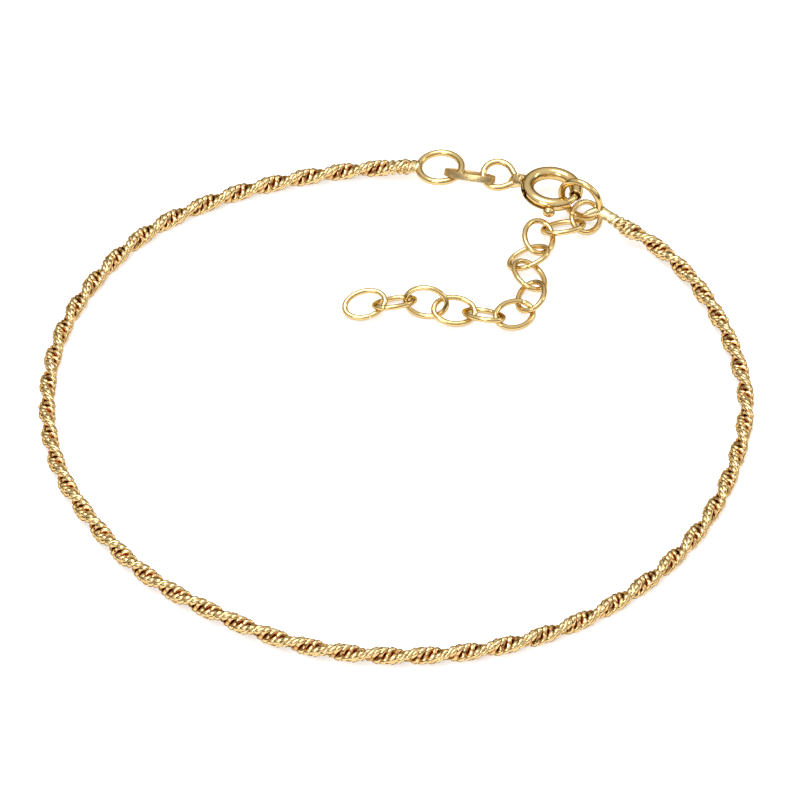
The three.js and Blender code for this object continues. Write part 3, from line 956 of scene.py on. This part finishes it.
def build_bolt():
    """The bolt's wire, its post and its thumb knob."""
    radius = BOLT_WIRE / 2
    tail = radius + 0.07  # behind the knob the wire fills the bore, and shows in the slot
    thinning = (KNOB_ANGLE - 10, KNOB_ANGLE + 4)
    ends = math.degrees(radius / CLASP_RADIUS)
    path, radii = [], []
    for t in np.linspace(0, math.pi / 2, 7):
        path.append(BOLT_ARC[0] + ends * (1 - math.cos(t)))
        radii.append(tail * math.sin(t))
    for angle in np.linspace(BOLT_ARC[0] + ends, BOLT_ARC[1] - ends, 60)[1:-1]:
        path.append(angle)
        radii.append(float(np.interp(angle, thinning, (tail, radius))))
    for t in np.linspace(math.pi / 2, 0, 7):
        path.append(BOLT_ARC[1] - ends * (1 - math.cos(t)))
        radii.append(radius * math.sin(t))
    points = [
        (CLASP_RADIUS * math.cos(math.radians(a)), CLASP_RADIUS * math.sin(math.radians(a)), 0)
        for a in path
    ]
    wire = tube(points, radii, WIRE_SIDES)
    out, along, across = KNOB_HALF
    foot = KNOB_REACH - out
    post = [(CLASP_RADIUS, 0.11), (CLASP_RADIUS + 0.5, 0.11), (foot - 0.03, 0.15)]
    collar = [(foot, 0.34), (foot + 0.1, 0.4), (foot + 0.16, 0.37)]
    collar_top = 1.05  # radians from the ball's foot to where the collar ends
    ball = [
        (KNOB_REACH - out * math.cos(t), along * math.sin(t))
        for t in np.linspace(collar_top, math.pi, 14)
    ]
    turn = Matrix.Rotation(math.radians(KNOB_ANGLE), 4, "Z")
    knob = moved(lathe(post + collar + ball, across / along), turn)
    mesh = mesh_of("bolt", [wire, knob])
    mesh.materials.append(made_once(polished_gold))
    mesh.transform(clasp_place())
    finished("spring_ring_bolt", mesh, "bolt", "gold_polished", "clasp_bolt")


# ---------- stage ----------
VIEW_MIDDLE = (0.305, 0.622, 0.003)  # what the camera looks at, in millimetres
FLOOR_RADIUS = 1.6  # in metres


def build_floor():
    """A plain pale floor of matt card, which glows a little to stay pale."""
    work = bmesh.new()
    bmesh.ops.create_circle(work, cap_ends=True, segments=96, radius=FLOOR_RADIUS)
    mesh = bpy.data.meshes.new("floor")
    work.to_mesh(mesh)
    work.free()
    floor = bpy.data.objects.new("floor", mesh)
    bpy.context.scene.collection.objects.link(floor)
    material = bpy.data.materials.new("matt_white_card")
    material.use_nodes = True
    tree = material.node_tree
    shader = tree.nodes["Principled BSDF"]
    shader.inputs["Base Color"].default_value = bpy.context.scene.bracelet_stage.floor
    shader.inputs["Roughness"].default_value = 0.9
    shader.inputs["Specular IOR Level"].default_value = 0.2
    shader.inputs["Emission Color"].default_value = (1, 1, 1, 1)
    shader.inputs["Emission Strength"].default_value = 0.5
    mesh.materials.append(material)


def build_lights():
    """Large soft boxes, and a room that is dark near the floor and bright overhead."""
    for name, place, size, radiance in (
        ("softbox_overhead", (-0.10, 0.10, 0.75), (0.42, 0.42), 6.0),
        ("softbox_front", (-0.30, -0.55, 0.50), (0.30, 0.30), 5.0),
        ("softbox_right", (0.60, 0.15, 0.35), (0.16, 0.34), 3.0),
    ):
        light = bpy.data.lights.new(name, "AREA")
        light.shape = "RECTANGLE"
        light.size, light.size_y = size
        light.energy = radiance * math.pi * size[0] * size[1]
        lamp = bpy.data.objects.new(name, light)
        lamp.location = place
        lamp.rotation_euler = Vector(place).to_track_quat("Z", "Y").to_euler()
        bpy.context.scene.collection.objects.link(lamp)
    world = bpy.data.worlds.new("studio")
    bpy.context.scene.world = world
    world.use_nodes = True
    tree = world.node_tree
    way = add(tree, "ShaderNodeTexCoord").outputs["Generated"]
    height = add(tree, "ShaderNodeSeparateXYZ", {0: way}).outputs["Z"]
    ramp = add(tree, "ShaderNodeValToRGB", {"Fac": height})
    stops = ramp.color_ramp.elements
    stops[0].position, stops[0].color = 0.0, (0.08, 0.08, 0.08, 1)
    stops[1].position, stops[1].color = 1.0, (1, 1, 1, 1)
    for position, value in ((0.2, 0.1), (0.5, 0.75)):
        stops.new(position).color = (value, value, value, 1)
    room = tree.nodes["Background"]
    tree.links.new(ramp.outputs["Color"], room.inputs["Color"])
    backdrop = add(tree, "ShaderNodeBackground", {"Color": linear("#FFFFFF"), "Strength": 1.0})
    seen = add(tree, "ShaderNodeLightPath").outputs["Is Camera Ray"]
    both = add(tree, "ShaderNodeMixShader", {0: seen, 1: room, 2: backdrop})
    tree.links.new(both.outputs[0], tree.nodes["World Output"].inputs["Surface"])


def build_camera():
    """The camera, looking down at the bracelet from its front."""
    stage = bpy.context.scene.bracelet_stage
    data = bpy.data.cameras.new("camera")
    data.lens = stage.lens
    data.clip_start = 0.01
    camera = bpy.data.objects.new("camera", data)
    target = Vector(VIEW_MIDDLE) * MM
    back = Vector((0, -math.cos(stage.elevation), math.sin(stage.elevation)))
    camera.location = target + back * stage.distance
    camera.rotation_euler = (math.pi / 2 - stage.elevation, 0, 0)
    bpy.context.scene.collection.objects.link(camera)
    bpy.context.scene.camera = camera
    bpy.context.scene.view_settings.view_transform = "Standard"


# ---------- operators ----------
class BRACELET_OT_stage(bpy.types.Operator):
    """Sets up the floor, the lights and the camera"""

    bl_idname = "bracelet.stage"
    bl_label = "Stage"

    def execute(self, context):
        build_camera()
        build_floor()
        build_lights()
        return {"FINISHED"}


class BRACELET_OT_chain(bpy.types.Operator):
    """Builds the twisted curb chain along its route"""

    bl_idname = "bracelet.chain"
    bl_label = "Twisted chain"

    def execute(self, context):
        build_chain()
        return {"FINISHED"}


class BRACELET_OT_end_rings(bpy.types.Operator):
    """Builds the two end rings with their soldered tips"""

    bl_idname = "bracelet.end_rings"
    bl_label = "End rings"

    def execute(self, context):
        build_end_rings()
        return {"FINISHED"}


class BRACELET_OT_strap(bpy.types.Operator):
    """Builds the flat band link"""

    bl_idname = "bracelet.strap"
    bl_label = "Strap link"

    def execute(self, context):
        build_strap()
        return {"FINISHED"}


class BRACELET_OT_clasp_body(bpy.types.Operator):
    """Builds the spring ring's tube with its eye"""

    bl_idname = "bracelet.clasp_body"
    bl_label = "Clasp body"

    def execute(self, context):
        build_clasp_body()
        return {"FINISHED"}


class BRACELET_OT_bolt(bpy.types.Operator):
    """Builds the spring ring's bolt with its thumb knob"""

    bl_idname = "bracelet.bolt"
    bl_label = "Clasp bolt"

    def execute(self, context):
        build_bolt()
        return {"FINISHED"}


class BRACELET_OT_extension(bpy.types.Operator):
    """Builds the extension chain's oval links"""

    bl_idname = "bracelet.extension"
    bl_label = "Extension chain"

    def execute(self, context):
        build_extension()
        return {"FINISHED"}


OPERATORS = (
    BRACELET_OT_stage,
    BRACELET_OT_chain,
    BRACELET_OT_end_rings,
    BRACELET_OT_strap,
    BRACELET_OT_clasp_body,
    BRACELET_OT_bolt,
    BRACELET_OT_extension,
)


class BRACELET_PT_panel(bpy.types.Panel):
    """Lists the bracelet's settings and pieces"""

    bl_idname = "BRACELET_PT_panel"
    bl_label = "Bracelet"
    bl_space_type = "VIEW_3D"
    bl_region_type = "UI"
    bl_category = "Bracelet"

    def draw(self, context):
        for name, (_, label) in SETTINGS.items():
            box = self.layout.box()
            box.label(text=label)
            group = getattr(context.scene, name)
            for prop in group.bl_rna.properties:
                if prop.identifier not in ("rna_type", "name"):
                    box.prop(group, prop.identifier)
        for operator in OPERATORS:
            self.layout.operator(operator.bl_idname)


SETTINGS = {
    "bracelet_chain": (ChainSettings, "Chain"),
    "bracelet_wire": (WireSettings, "Rings and links"),
    "bracelet_finish": (FinishSettings, "Finish"),
    "bracelet_stage": (StageSettings, "Stage"),
}


def register():
    for name, (group, label) in SETTINGS.items():
        bpy.utils.register_class(group)
        setattr(bpy.types.Scene, name, PointerProperty(name=label, type=group))
    for operator in OPERATORS:
        bpy.utils.register_class(operator)
    bpy.utils.register_class(BRACELET_PT_panel)


def unregister():
    bpy.utils.unregister_class(BRACELET_PT_panel)
    for operator in reversed(OPERATORS):
        bpy.utils.unregister_class(operator)
    for name, (group, _) in SETTINGS.items():
        delattr(bpy.types.Scene, name)
        bpy.utils.unregister_class(group)


def main():
    """Builds every piece."""
    register()
    for operator in OPERATORS:
        group, name = operator.bl_idname.split(".")
        getattr(getattr(bpy.ops, group), name)()


if __name__ == "__main__":
    main()
